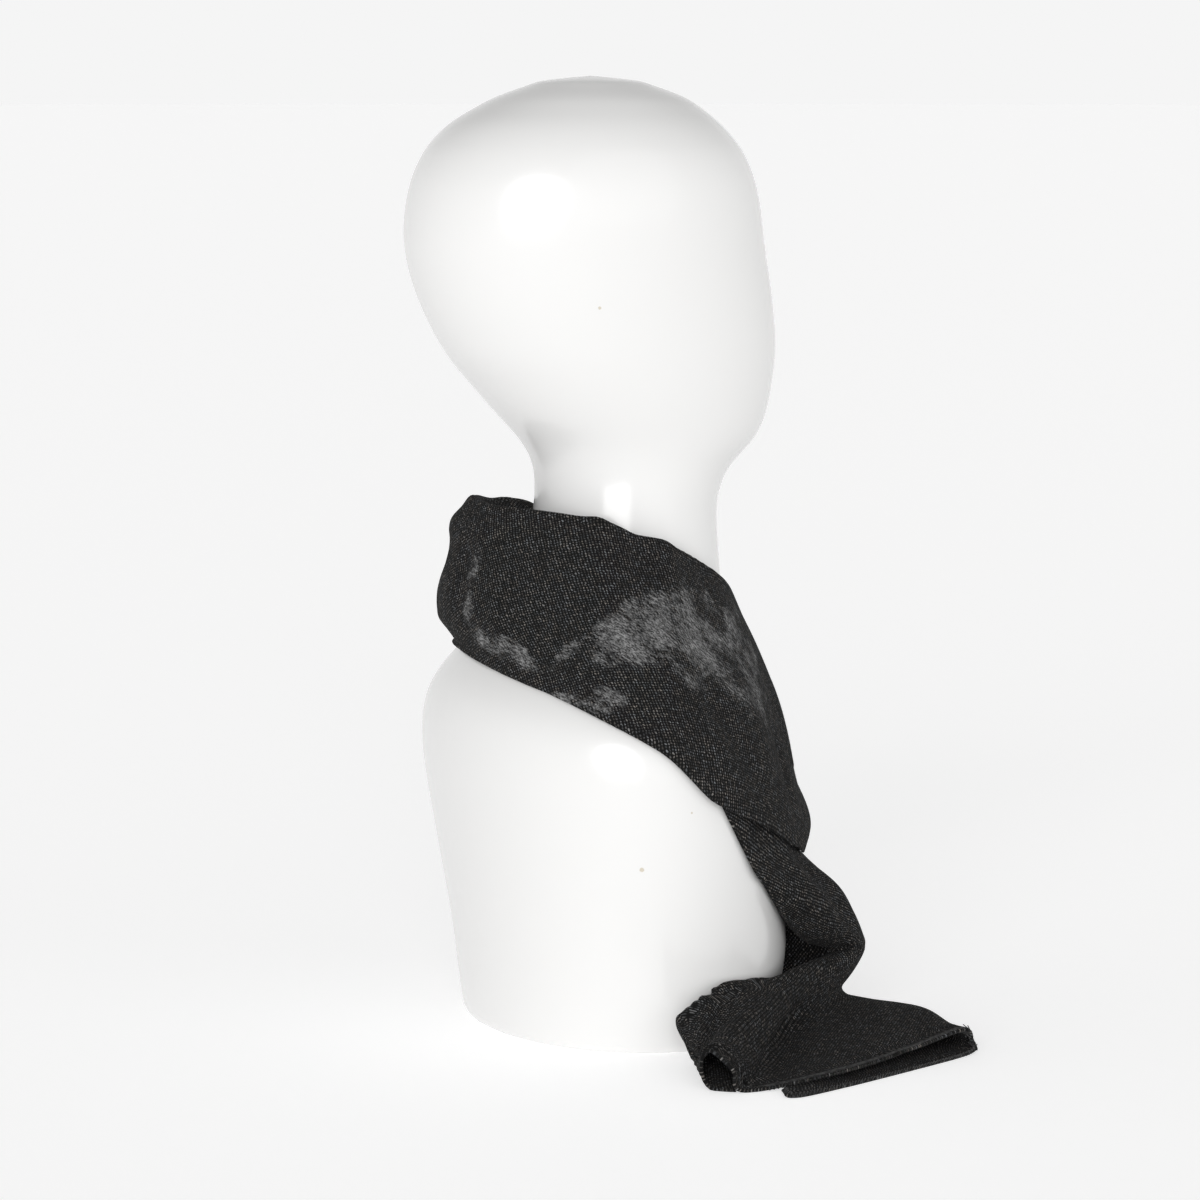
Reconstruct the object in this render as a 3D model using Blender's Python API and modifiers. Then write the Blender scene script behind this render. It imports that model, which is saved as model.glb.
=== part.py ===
"""A wool scarf wound once round the neck of a limbless display bust, one tail slumped on the floor.

Metres, +Z up. The origin is the centre of the bust's flat base, and the bust faces -Y, so its
right side is at -X. Sizes in the tables are in millimetres. A turn is an angle round the upright
axis in degrees, from the nape (+Y) over the bust's right shoulder (-X) to its chest (-Y). A gap is
the distance from the bust's skin to the middle of the cloth.
"""

import math

import bmesh
import bpy
from mathutils import Vector

MM = 0.001

# ---- Driving sizes, in millimetres ----
WALL = 1.8  # thickness of the wool, which is folded double round the neck
CLOTH_GAP = 2.6  # least gap of the cloth that is wound round the bust
SEAM = 1.2  # space between the two stretches, behind the neck
KNEE_SEAM = 0.2  # space between the tail and its laid end, as a share of the way between two rows
RIM_ROLL = ((9.0, 13.0), (7.5, 6.0), (4.0, 1.2))  # inwards and down, from the inner edge to the rim
ROLL_ROOM = 12.0  # the roll is smaller where the rim is nearer to the neck than this
ROLL_LINE = 40.0  # and where the hem is less than this far below the rim
LEAST_ROLL = 0.15
HEM_ROLL = (0.6, 2.0)  # inwards and down
PROFILE_SHARES = (0.0, 0.16, 0.34, 0.66, 0.87, 1.0)  # where a stretch is pushed out, down its line
SKIN_BLEND = 6.0  # how softly a stretch meets the bust's skin

BUST_COLUMNS = 40
BUST_RING_STEP = 12.0
CROWN_START = 460.0  # above this height the rings are half as far apart

# Faces along each piece of cloth and across it.
RIGHT_STRETCH_FACES = (45, 14)
LEFT_STRETCH_FACES = (18, 14)
RIGHT_TAIL_FACES = (22, 20)
LEFT_TAIL_FACES = (12, 6)
LAID_END_FACES = (26, 36)

# The bust: a row for each level of the body. half_width is along X and half_depth along Y,
# centre_y is the middle of the level, and taper narrows it towards the front, as a head is.
BUST_LEVELS = (
    # height, half_width, half_depth, centre_y, taper
    (0.0, 106.0, 79.0, 2.5, 0.0),
    (2.0, 108.0, 81.0, 2.5, 0.0),
    (20.0, 112.0, 85.0, 1.0, 0.0),
    (39.0, 115.0, 87.5, 0.5, 0.0),
    (60.0, 118.0, 88.5, 2.5, 0.0),
    (83.0, 121.0, 89.0, 6.0, 0.0),
    (110.0, 124.0, 89.5, 10.0, 0.0),
    (135.0, 126.0, 90.0, 13.5, 0.0),
    (156.0, 125.0, 89.5, 16.0, 0.0),
    (180.0, 114.0, 85.0, 17.0, 0.0),
    (203.0, 89.0, 75.5, 12.0, 0.0),
    (218.0, 70.0, 64.5, 5.5, 0.0),
    (235.0, 57.0, 55.0, 0.0, 0.0),
    (255.0, 51.5, 52.0, -2.0, 0.0),
    (281.0, 49.0, 49.8, -3.0, 0.0),
    (298.0, 48.5, 52.0, -5.5, 0.02),
    (306.0, 49.0, 57.0, -8.5, 0.05),
    (314.0, 52.0, 64.5, -11.5, 0.08),
    (327.0, 57.0, 74.0, -8.5, 0.10),
    (342.0, 62.5, 82.5, -3.0, 0.11),
    (363.0, 68.5, 92.5, 4.5, 0.12),
    (391.0, 74.0, 98.5, 13.0, 0.12),
    (420.0, 77.0, 100.0, 19.5, 0.10),
    (446.0, 76.0, 97.5, 20.5, 0.08),
    (467.0, 70.5, 90.5, 20.5, 0.06),
    (485.5, 58.5, 75.0, 20.0, 0.04),
    (500.0, 40.0, 52.0, 17.0, 0.02),
    (508.0, 22.0, 29.0, 17.0, 0.0),
)
CROWN = (17.0, 511.0)  # y and height of the top of the head

# The two stretches round the neck. A row is one line of the cloth from its rolled rim down to its
# hem: the rim by its turn, distance from the axis and height, the hem by its turn, height and gap.
# shoulder, waist, belly and cuff push the line out at the four shares inside PROFILE_SHARES, and
# under is the thickness of the cloth that lies beneath it.
RIGHT_STRETCH = (
    # rim_turn, rim_out, rim_height, hem_turn, hem_height, hem_gap, shoulder, waist, belly, cuff, under
    (-80.0, 74.0, 266.0, -80.0, 162.0, 3.0, 3.0, 4.0, 3.0, 1.0, 0.0),
    (-64.0, 78.0, 278.0, -64.0, 184.0, 3.0, 6.0, 6.0, 6.0, 3.0, 0.0),
    (-46.0, 80.0, 279.0, -46.0, 199.0, 3.0, 8.0, 8.5, 11.5, 7.0, 0.0),
    (-24.0, 81.0, 284.0, -26.0, 205.5, 4.0, 9.5, 9.0, 13.0, 9.0, 0.0),
    (4.0, 77.0, 282.0, 2.0, 206.0, 4.0, 8.0, 8.0, 11.0, 6.0, 0.0),
    (32.0, 70.0, 281.0, 33.0, 199.0, 3.0, 6.0, 6.0, 8.0, 4.0, 0.0),
    (58.0, 68.0, 277.5, 58.0, 188.0, 3.0, 4.0, 4.5, 5.0, 3.0, 0.0),
    (82.0, 65.0, 268.5, 79.0, 167.0, 3.0, 3.0, 3.0, 4.0, 2.5, 0.0),
    (106.0, 60.0, 257.5, 90.5, 142.0, 4.5, 3.0, 2.0, 3.0, 2.0, 0.0),
    (132.0, 56.0, 245.5, 101.0, 129.5, 7.5, 2.0, 0.0, 0.0, 0.0, 0.0),
    (158.0, 56.5, 233.0, 113.0, 117.5, 10.5, 1.0, -1.0, -3.0, -1.0, 1.5),
    (180.0, 67.5, 215.0, 122.0, 108.5, 12.0, 1.0, 0.0, -4.0, -1.0, 5.0),
    (189.0, 77.5, 189.0, 129.0, 104.0, 13.5, 1.0, 0.0, -4.0, -1.0, 5.0),
    (185.0, 84.5, 158.0, 134.0, 100.5, 14.0, 0.0, -1.0, -1.0, 1.0, 6.0),
    (177.0, 93.5, 132.0, 138.5, 98.0, 14.0, 0.0, 1.0, 2.0, 1.0, 8.0),
    (166.0, 98.5, 113.0, 142.0, 97.0, 13.5, 0.0, 1.0, 1.0, 1.0, 8.0),
    (156.0, 97.0, 105.0, 145.0, 98.5, 13.3, 0.0, 0.0, 0.0, 0.0, 8.0),
)
LEFT_STRETCH = (
    (-80.0, 74.0, 266.0, -80.0, 162.0, 3.0, 3.0, 4.0, 3.0, 1.0, 0.0),
    (-104.0, 68.0, 257.0, -98.0, 136.0, 3.0, 3.0, 4.0, 4.0, 2.0, 0.0),
    (-132.0, 62.0, 246.0, -118.0, 119.0, 3.0, 2.0, 3.0, 4.0, 2.0, 0.0),
    (-158.0, 60.0, 234.0, -140.0, 112.0, 3.0, 1.0, 1.0, 3.0, 1.0, 0.0),
    (-180.0, 61.0, 219.0, -162.0, 108.0, 3.0, 0.0, 0.0, 0.0, 0.0, 0.0),
    (-200.0, 67.0, 200.0, -186.0, 106.0, 3.0, 0.0, 0.0, 0.0, 0.0, 0.0),
    (-212.0, 74.0, 184.0, -205.0, 104.0, 3.0, 0.0, 0.0, 0.0, 0.0, 0.0),
)

# The tails against the bust: a row is one line round a tail from its near edge to its far edge, and
# each point has a turn, a gap and a height. The shares say how far across the cloth each point is.
RIGHT_TAIL_SHARES = (0.0, 0.077, 0.2, 0.34, 0.55, 1.0)
RIGHT_TAIL = (
    # tuck, near_fold, near_side,
    # crest, far_side, far_fold
    (
        (98.0, 2.3, 127.0), (102.0, 3.0, 126.5), (116.0, 6.0, 125.0),
        (136.0, 8.0, 122.0), (151.0, 8.0, 120.0), (162.0, 7.0, 118.0),
    ),
    (
        (107.5, 2.3, 96.0), (111.0, 4.0, 96.0), (123.0, 9.0, 97.0),
        (142.5, 10.0, 97.0), (156.5, 9.0, 96.0), (165.0, 7.0, 94.0),
    ),
    (
        (112.5, 2.3, 87.0), (116.0, 6.0, 87.5), (127.0, 13.0, 89.0),
        (146.5, 14.0, 89.0), (160.0, 12.0, 87.0), (167.0, 4.5, 84.0),
    ),
    (
        (121.5, 2.3, 71.0), (121.0, 6.0, 73.0), (125.5, 18.0, 76.0),
        (147.5, 29.0, 73.5), (160.0, 24.0, 68.0), (168.5, 3.5, 62.0),
    ),
    (
        (135.0, 4.0, 55.0), (128.5, 7.5, 61.0), (132.0, 21.5, 65.0),
        (149.0, 36.0, 59.0), (159.0, 31.0, 55.5), (167.5, 3.0, 47.0),
    ),
    (
        (142.5, 11.0, 45.5), (136.0, 15.5, 51.5), (138.5, 28.5, 57.0),
        (150.5, 40.5, 48.5), (159.0, 34.5, 45.5), (167.5, 3.0, 36.0),
    ),
    (
        (148.0, 23.0, 40.5), (143.5, 26.5, 46.0), (144.0, 35.0, 50.0),
        (151.5, 42.5, 42.5), (159.0, 38.5, 36.5), (166.5, 3.0, 26.0),
    ),
)
LEFT_TAIL_SHARES = (0.0, 0.5, 1.0)
LEFT_TAIL = (
    # near_fold, crest, far_fold
    ((167.0, 7.2, 126.0), (171.0, 7.2, 127.0), (176.0, 7.2, 128.0)),
    ((171.5, 7.2, 108.0), (178.0, 7.8, 108.0), (186.0, 7.2, 109.0)),
    ((174.0, 5.0, 86.0), (184.0, 10.0, 86.0), (196.0, 4.0, 86.0)),
    ((177.0, 4.0, 62.0), (189.0, 8.0, 62.0), (203.0, 3.5, 61.0)),
    ((180.0, 4.0, 36.0), (193.0, 7.0, 35.0), (208.0, 4.0, 36.0)),
)

# The laid end, from the tail's knee to its short end. A row is one line across the cloth, from its
# left edge over the ridge, down the valley, over the upper layer, round the fold on the right and
# back along the under layer. Each point is x, y and height.
LAID_END_SHARES = (0.0, 0.077, 0.154, 0.231, 0.34, 0.46, 0.56, 0.64, 0.74, 0.86, 1.0)
LAID_END = (
    # left_edge, left_low, ridge_foot, ridge,
    # valley, upper, near_fold, loop_top,
    # fold, under_near, under_edge
    (
        (-60.0, -101.0, 37.0), (-68.5, -106.5, 40.5), (-73.5, -107.5, 42.0), (-71.5, -112.0, 41.0),
        (-64.0, -117.0, 36.5), (-53.5, -118.0, 32.5), (-48.0, -117.0, 28.0), (-43.5, -114.0, 24.0),
        (-39.5, -108.5, 21.5), (-34.0, -99.0, 19.5), (-27.0, -86.0, 18.0),
    ),
    (
        (-63.0, -91.5, 33.0), (-71.0, -96.0, 37.5), (-76.5, -99.0, 37.0), (-76.0, -103.5, 34.0),
        (-67.5, -109.0, 27.0), (-58.0, -109.5, 21.5), (-54.0, -108.0, 18.0), (-53.0, -105.5, 15.5),
        (-53.0, -102.0, 14.0), (-52.5, -95.0, 13.5), (-51.5, -83.5, 13.0),
    ),
    (
        (-70.5, -76.5, 29.0), (-78.0, -79.5, 35.5), (-83.5, -83.0, 35.5), (-83.5, -89.0, 32.0),
        (-75.0, -98.5, 22.5), (-70.5, -100.5, 18.0), (-69.5, -105.5, 15.0), (-70.0, -110.0, 12.0),
        (-73.5, -111.0, 9.0), (-80.0, -103.5, 7.0), (-92.0, -89.0, 4.0),
    ),
    (
        (-89.0, -57.5, 27.0), (-93.5, -59.0, 33.0), (-96.0, -65.0, 33.0), (-96.0, -70.5, 29.5),
        (-87.5, -82.5, 18.0), (-82.0, -96.5, 16.5), (-82.5, -110.5, 15.0), (-85.5, -117.5, 13.0),
        (-88.5, -119.5, 9.0), (-93.5, -113.5, 5.0), (-103.5, -92.0, 1.5),
    ),
    (
        (-111.0, -33.0, 34.5), (-112.5, -38.0, 33.0), (-113.5, -44.0, 29.0), (-114.0, -50.0, 28.5),
        (-102.5, -64.5, 14.5), (-104.5, -82.0, 14.0), (-101.5, -112.5, 15.5), (-100.0, -125.5, 14.5),
        (-97.5, -134.0, 10.0), (-104.5, -128.5, 2.5), (-122.0, -77.5, 0.9),
    ),
    (
        (-120.5, -9.5, 34.0), (-125.0, -15.5, 33.5), (-134.0, -23.0, 28.5), (-137.0, -31.0, 26.5),
        (-128.0, -42.0, 9.5), (-131.5, -69.5, 10.5), (-125.5, -111.0, 14.5), (-124.0, -127.0, 16.5),
        (-120.5, -136.0, 9.5), (-128.0, -129.0, 1.5), (-156.0, -52.0, 0.9),
    ),
    (
        (-128.5, 9.5, 26.5), (-139.5, 8.0, 25.0), (-153.5, 5.0, 21.0), (-162.5, -2.0, 22.0),
        (-164.5, -19.0, 3.5), (-165.0, -58.5, 8.0), (-151.5, -103.5, 12.0), (-145.0, -126.0, 14.5),
        (-143.0, -136.0, 9.0), (-153.0, -128.0, 0.9), (-194.0, -30.0, 0.9),
    ),
    (
        (-134.5, 16.0, 20.0), (-153.5, 17.5, 16.5), (-172.0, 18.5, 17.5), (-178.5, 12.0, 20.0),
        (-191.0, -4.0, 2.0), (-187.0, -51.5, 6.5), (-168.5, -97.0, 9.5), (-156.0, -125.0, 13.0),
        (-154.0, -137.0, 9.5), (-164.0, -129.5, 0.9), (-215.0, -17.5, 0.9),
    ),
    (
        (-191.5, 21.0, 0.9), (-187.0, 24.5, 8.0), (-187.0, 24.0, 17.5), (-194.0, 22.0, 21.0),
        (-202.0, 7.0, 0.9), (-200.0, -46.0, 6.0), (-177.5, -93.5, 8.0), (-163.5, -124.5, 12.0),
        (-161.0, -137.5, 7.5), (-168.5, -129.0, 0.9), (-222.0, -13.5, 0.9),
    ),
)

# Colour (linear), roughness and metallic of the two materials.
WOOL = ((0.020, 0.020, 0.021, 1.0), 0.92, 0.0)
GLOSS_WHITE = ((0.86, 0.86, 0.85, 1.0), 0.18, 0.0)


def spline(rows, place):
    """The row at place, from 0 at the first row to len(rows) - 1 at the last, on a smooth curve."""
    last = len(rows) - 1
    index = min(int(place), last - 1)
    share = place - index
    before, after = rows[max(index - 1, 0)], rows[min(index + 2, last)]
    values = []
    for a, b, c, d in zip(before, rows[index], rows[index + 1], after):
        pull_in, pull_out = (c - a) / 2, (d - b) / 2
        square, cube = share**2, share**3
        values.append(
            b * (2 * cube - 3 * square + 1)
            + pull_in * (cube - 2 * square + share)
            + c * (3 * square - 2 * cube)
            + pull_out * (cube - square)
        )
    return values


def along(keys, value):
    """The place of a value in a rising list of keys, as spline counts it."""
    for index, upper in enumerate(keys[1:]):
        if value <= upper:
            break
    lower = keys[index]
    return index + min(max((value - lower) / (upper - lower), 0.0), 1.0)


def bust_level(height):
    """The body's half width, half depth, centre and taper at a height."""
    return spline(BUST_LEVELS, along([row[0] for row in BUST_LEVELS], height))[1:]


def bust_point(height, turn):
    """The point of the bust's skin that a turn about the middle of its level gives."""
    half_width, half_depth, centre_y, taper = bust_level(height)
    angle = math.radians(turn)
    narrowing = 1.0 - taper * (1.0 - math.cos(angle)) / 2
    x = -half_width * math.sin(angle) * narrowing
    return Vector((x, centre_y + half_depth * math.cos(angle), height))


def bust_reach(height, turn):
    """How far the skin of the neck or body is from the axis at a turn, from its level's ellipse."""
    half_width, half_depth, centre_y, _ = bust_level(height)
    x, y = -math.sin(math.radians(turn)), math.cos(math.radians(turn))
    square = (x / half_width) ** 2 + (y / half_depth) ** 2
    linear = y * centre_y / half_depth**2
    rest = (centre_y / half_depth) ** 2 - 1.0
    return (linear + math.sqrt(linear**2 - square * rest)) / square


def polar(turn, out, height):
    """The point at a turn, a distance from the axis and a height."""
    angle = math.radians(turn)
    return Vector((-out * math.sin(angle), out * math.cos(angle), height))


def on_bust(turn, gap, height):
    """The point at a turn, a gap from the bust's skin and a height."""
    return polar(turn, bust_reach(height, turn) + gap, height)


def softer_max(first, second):
    """The larger of two lengths, rounded where they are nearly the same."""
    near = max(SKIN_BLEND - abs(first - second), 0.0) / SKIN_BLEND
    return max(first, second) + near**2 * SKIN_BLEND / 4


def stretch_line(row, count):
    """One line of a stretch: its rolled rim, its outer face resting on the bust, and its hem."""
    rim_turn, rim_out, rim_height, hem_turn, hem_height, hem_gap = row[:6]
    pushes = [(0.0,), *((push,) for push in row[6:10]), (0.0,)]
    least_gap = CLOTH_GAP + row[10]
    room = rim_out - bust_reach(rim_height, rim_turn) - least_gap
    size = min((rim_height - hem_height) / ROLL_LINE, max(room / ROLL_ROOM, LEAST_ROLL), 1.0)
    rim = rim_out - min(room, 0.0)
    line = []
    for inwards, down in RIM_ROLL:
        height = rim_height - down * size**2
        skin = bust_reach(height, rim_turn) + least_gap - inwards * LEAST_ROLL
        line.append(polar(rim_turn, max(rim - inwards * size, skin), height))
    hem_out = bust_reach(hem_height, hem_turn) + hem_gap
    for step in range(count + 1):
        share = step / count
        turn = rim_turn + (hem_turn - rim_turn) * share
        height = rim_height + (hem_height - rim_height) * share
        push = spline(pushes, along(PROFILE_SHARES, share))[0]
        straight = rim_out + (hem_out - rim_out) * share + push
        skin = bust_reach(height, turn) + least_gap
        line.append(polar(turn, softer_max(straight, skin), height))
    inwards, down = HEM_ROLL
    line.append(on_bust(hem_turn, hem_gap - inwards, hem_height - down))
    return line


def stretch_lines(rows, faces, start=0.0):
    """The lines of a stretch round the neck, from a place near its first row to its last row."""
    columns, count = faces
    span = len(rows) - 1 - start
    return [stretch_line(spline(rows, start + span * k / columns), count) for k in range(columns + 1)]


def across(points, shares, count):
    """A line at even shares across the cloth, on a smooth curve through a row's own points."""
    return [spline(points, along(shares, k / count)) for k in range(count + 1)]


def sheet_lines(rows, columns, start, stop):
    """Lines along a sheet, smooth through its rows, from the place start to the place stop."""
    flat = [[value for point in row for value in point] for row in rows]
    lines = []
    for k in range(columns + 1):
        values = spline(flat, start + (stop - start) * k / columns)
        lines.append([values[j : j + 3] for j in range(0, len(values), 3)])
    return lines


def tail_rows(rows, shares, count):
    """The rows of a tail against the bust, each with count faces across."""
    return [across([on_bust(*point) for point in row], shares, count) for row in rows]


def right_rows(count):
    """The rows of the right tail and then of its laid end, which are one sheet."""
    laid_end = [across(row, LAID_END_SHARES, count) for row in LAID_END]
    return tail_rows(RIGHT_TAIL, RIGHT_TAIL_SHARES, count) + laid_end


def link(name, mesh, material):
    """An object of a finished bmesh, in the scarf's collection."""
    data = bpy.data.meshes.new(name)
    mesh.to_mesh(data)
    mesh.free()
    data.materials.append(material)
    data.shade_smooth()
    piece = bpy.data.objects.new(name, data)
    PARTS.objects.link(piece)
    return piece


def make_wall(name, lines, material):
    """A wall of cloth, whose middle runs through lines of points, and none of it below the floor."""
    mesh = bmesh.new()
    grid = [[mesh.verts.new(Vector(point) * MM) for point in line] for line in lines]
    for line, beside in zip(grid, grid[1:]):
        for k in range(len(line) - 1):
            mesh.faces.new((line[k], beside[k], beside[k + 1], line[k + 1]))
    piece = link(name, mesh, material)
    solid = piece.modifiers.new("wool", "SOLIDIFY")
    solid.thickness = WALL * MM
    solid.offset = 0.0
    evaluated = piece.evaluated_get(bpy.context.evaluated_depsgraph_get())
    thick = bpy.data.meshes.new_from_object(evaluated)
    piece.modifiers.remove(solid)
    piece.data = thick
    for corner in thick.vertices:
        corner.co.z = max(corner.co.z, 0.0)
    return piece


def make_bust(material):
    """The bust as one closed skin over a flat base."""
    heights = [BUST_LEVELS[0][0], BUST_LEVELS[1][0]]
    top = BUST_LEVELS[-1][0]
    while heights[-1] < top:
        step = BUST_RING_STEP if heights[-1] < CROWN_START else BUST_RING_STEP / 2
        heights.append(min(heights[-1] + step, top))
    mesh = bmesh.new()
    turns = [360.0 * k / BUST_COLUMNS for k in range(BUST_COLUMNS)]
    rings = [[mesh.verts.new(bust_point(height, turn) * MM) for turn in turns] for height in heights]
    beside = [(k + 1) % BUST_COLUMNS for k in range(BUST_COLUMNS)]
    for lower, upper in zip(rings, rings[1:]):
        for k, near in enumerate(beside):
            mesh.faces.new((lower[k], lower[near], upper[near], upper[k]))
    mesh.faces.new(list(reversed(rings[0])))
    crown = mesh.verts.new(Vector((0.0, *CROWN)) * MM)
    for k, near in enumerate(beside):
        mesh.faces.new((rings[-1][k], rings[-1][near], crown))
    return link("bust", mesh, material)


def make_material(name, colour, roughness, metallic):
    """A plain finish."""
    material = bpy.data.materials.new(name)
    material.use_nodes = True
    shader = material.node_tree.nodes["Principled BSDF"]
    shader.inputs["Base Color"].default_value = colour
    shader.inputs["Roughness"].default_value = roughness
    shader.inputs["Metallic"].default_value = metallic
    return material


for old in list(bpy.data.objects):
    bpy.data.objects.remove(old, do_unlink=True)
PARTS = bpy.data.collections.new("wool_scarf_on_bust")
bpy.context.scene.collection.children.link(PARTS)
wool = make_material("wool", *WOOL)
gloss_white = make_material("gloss_white", *GLOSS_WHITE)

make_bust(gloss_white)

rim_step = math.radians(LEFT_STRETCH[0][0] - LEFT_STRETCH[1][0]) * LEFT_STRETCH[0][1]
right_stretch = stretch_lines(RIGHT_STRETCH, RIGHT_STRETCH_FACES)
left_stretch = stretch_lines(LEFT_STRETCH, LEFT_STRETCH_FACES, start=SEAM / rim_step)
make_wall("scarf_wrap_right", right_stretch, wool)
make_wall("scarf_wrap_left", left_stretch, wool)

columns, count = LEFT_TAIL_FACES
left_tail = tail_rows(LEFT_TAIL, LEFT_TAIL_SHARES, count)
make_wall("scarf_tail_left", sheet_lines(left_tail, columns, 0, len(LEFT_TAIL) - 1), wool)

knee = len(RIGHT_TAIL) - 1
columns, count = RIGHT_TAIL_FACES
make_wall("scarf_tail_right", sheet_lines(right_rows(count), columns, 0, knee), wool)

columns, count = LAID_END_FACES
end_start, end_stop = knee + KNEE_SEAM, knee + len(LAID_END)
make_wall("scarf_end_right", sheet_lines(right_rows(count), columns, end_start, end_stop), wool)
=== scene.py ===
"""A wool scarf wound once round the neck of a display bust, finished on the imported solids.

Metres, +Z up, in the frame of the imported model. Sizes in the tables are millimetres. A turn is an
angle round the upright axis in degrees, from the nape (+Y) over the bust's right shoulder (-X) to
its chest (-Y). A gap is the distance from the bust's skin to the middle of the cloth. A sheet's
lines run across the cloth, and its length runs from line to line.
"""

import logging
import math
from dataclasses import dataclass, field
from enum import Enum

import bpy
import numpy as np
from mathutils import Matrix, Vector


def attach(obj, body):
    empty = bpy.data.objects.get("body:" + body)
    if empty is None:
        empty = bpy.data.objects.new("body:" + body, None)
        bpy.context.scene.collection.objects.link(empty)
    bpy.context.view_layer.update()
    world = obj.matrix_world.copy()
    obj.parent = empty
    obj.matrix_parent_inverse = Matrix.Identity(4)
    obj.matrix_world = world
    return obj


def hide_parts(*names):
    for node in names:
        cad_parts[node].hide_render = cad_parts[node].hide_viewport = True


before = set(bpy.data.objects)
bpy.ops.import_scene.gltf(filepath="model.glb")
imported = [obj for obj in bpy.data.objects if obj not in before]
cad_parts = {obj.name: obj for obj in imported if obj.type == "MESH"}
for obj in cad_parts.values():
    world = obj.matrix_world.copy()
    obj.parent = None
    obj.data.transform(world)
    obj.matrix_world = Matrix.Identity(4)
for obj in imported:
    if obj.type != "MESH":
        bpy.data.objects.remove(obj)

MM = 0.001
LOG = logging.getLogger("scarf")

Number = float | int
Row = tuple[float, ...]
Point = tuple[float, float, float]


class Held(Enum):
    """How a sheet of cloth is held."""

    DRAPED = "draped"
    HUNG = "hung"
    FOLDED = "folded"


class Operation(Enum):
    """The Math operations that the finishes use."""

    ADD = "ADD"
    SUBTRACT = "SUBTRACT"
    MULTIPLY = "MULTIPLY"
    DIVIDE = "DIVIDE"
    POWER = "POWER"
    FLOOR = "FLOOR"
    FRACT = "FRACT"
    MODULO = "FLOORED_MODULO"
    MAXIMUM = "MAXIMUM"


# ---------------------------------------------------------------------------------------------
# Shader arithmetic
# ---------------------------------------------------------------------------------------------


class Shade:
    """A shader socket that Python's arithmetic works on."""

    def __init__(self, bench: "Bench", socket: bpy.types.NodeSocket) -> None:
        """Keeps the socket and the bench that its nodes are made on."""
        self.bench = bench
        self.socket = socket

    def __add__(self, other: "Shade | Number") -> "Shade":
        """The sum."""
        return self.bench.maths(Operation.ADD, self, other)

    def __radd__(self, other: Number) -> "Shade":
        """The sum, with the number first."""
        return self.bench.maths(Operation.ADD, other, self)

    def __sub__(self, other: "Shade | Number") -> "Shade":
        """The difference."""
        return self.bench.maths(Operation.SUBTRACT, self, other)

    def __rsub__(self, other: Number) -> "Shade":
        """The difference, with the number first."""
        return self.bench.maths(Operation.SUBTRACT, other, self)

    def __mul__(self, other: "Shade | Number") -> "Shade":
        """The product."""
        return self.bench.maths(Operation.MULTIPLY, self, other)

    def __rmul__(self, other: Number) -> "Shade":
        """The product, with the number first."""
        return self.bench.maths(Operation.MULTIPLY, other, self)

    def __truediv__(self, other: "Shade | Number") -> "Shade":
        """The quotient."""
        return self.bench.maths(Operation.DIVIDE, self, other)

    def __mod__(self, other: Number) -> "Shade":
        """What is left of a division, never negative."""
        return self.bench.maths(Operation.MODULO, self, other)

    def __pow__(self, other: Number) -> "Shade":
        """The power."""
        return self.bench.maths(Operation.POWER, self, other)

    def floor(self) -> "Shade":
        """The whole number below."""
        return self.bench.maths(Operation.FLOOR, self)

    def fract(self) -> "Shade":
        """The part past the whole number below."""
        return self.bench.maths(Operation.FRACT, self)

    def above(self, least: Number) -> "Shade":
        """The value, or the least one where it is smaller."""
        return self.bench.maths(Operation.MAXIMUM, self, least)

    def ramp(self, low: Number, high: Number) -> "Shade":
        """A smooth step from 0 at low to 1 at high."""
        return self.bench.node(
            "ShaderNodeMapRange",
            {"interpolation_type": "SMOOTHSTEP"},
            {"Value": self, "From Min": low, "From Max": high},
        )


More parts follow.
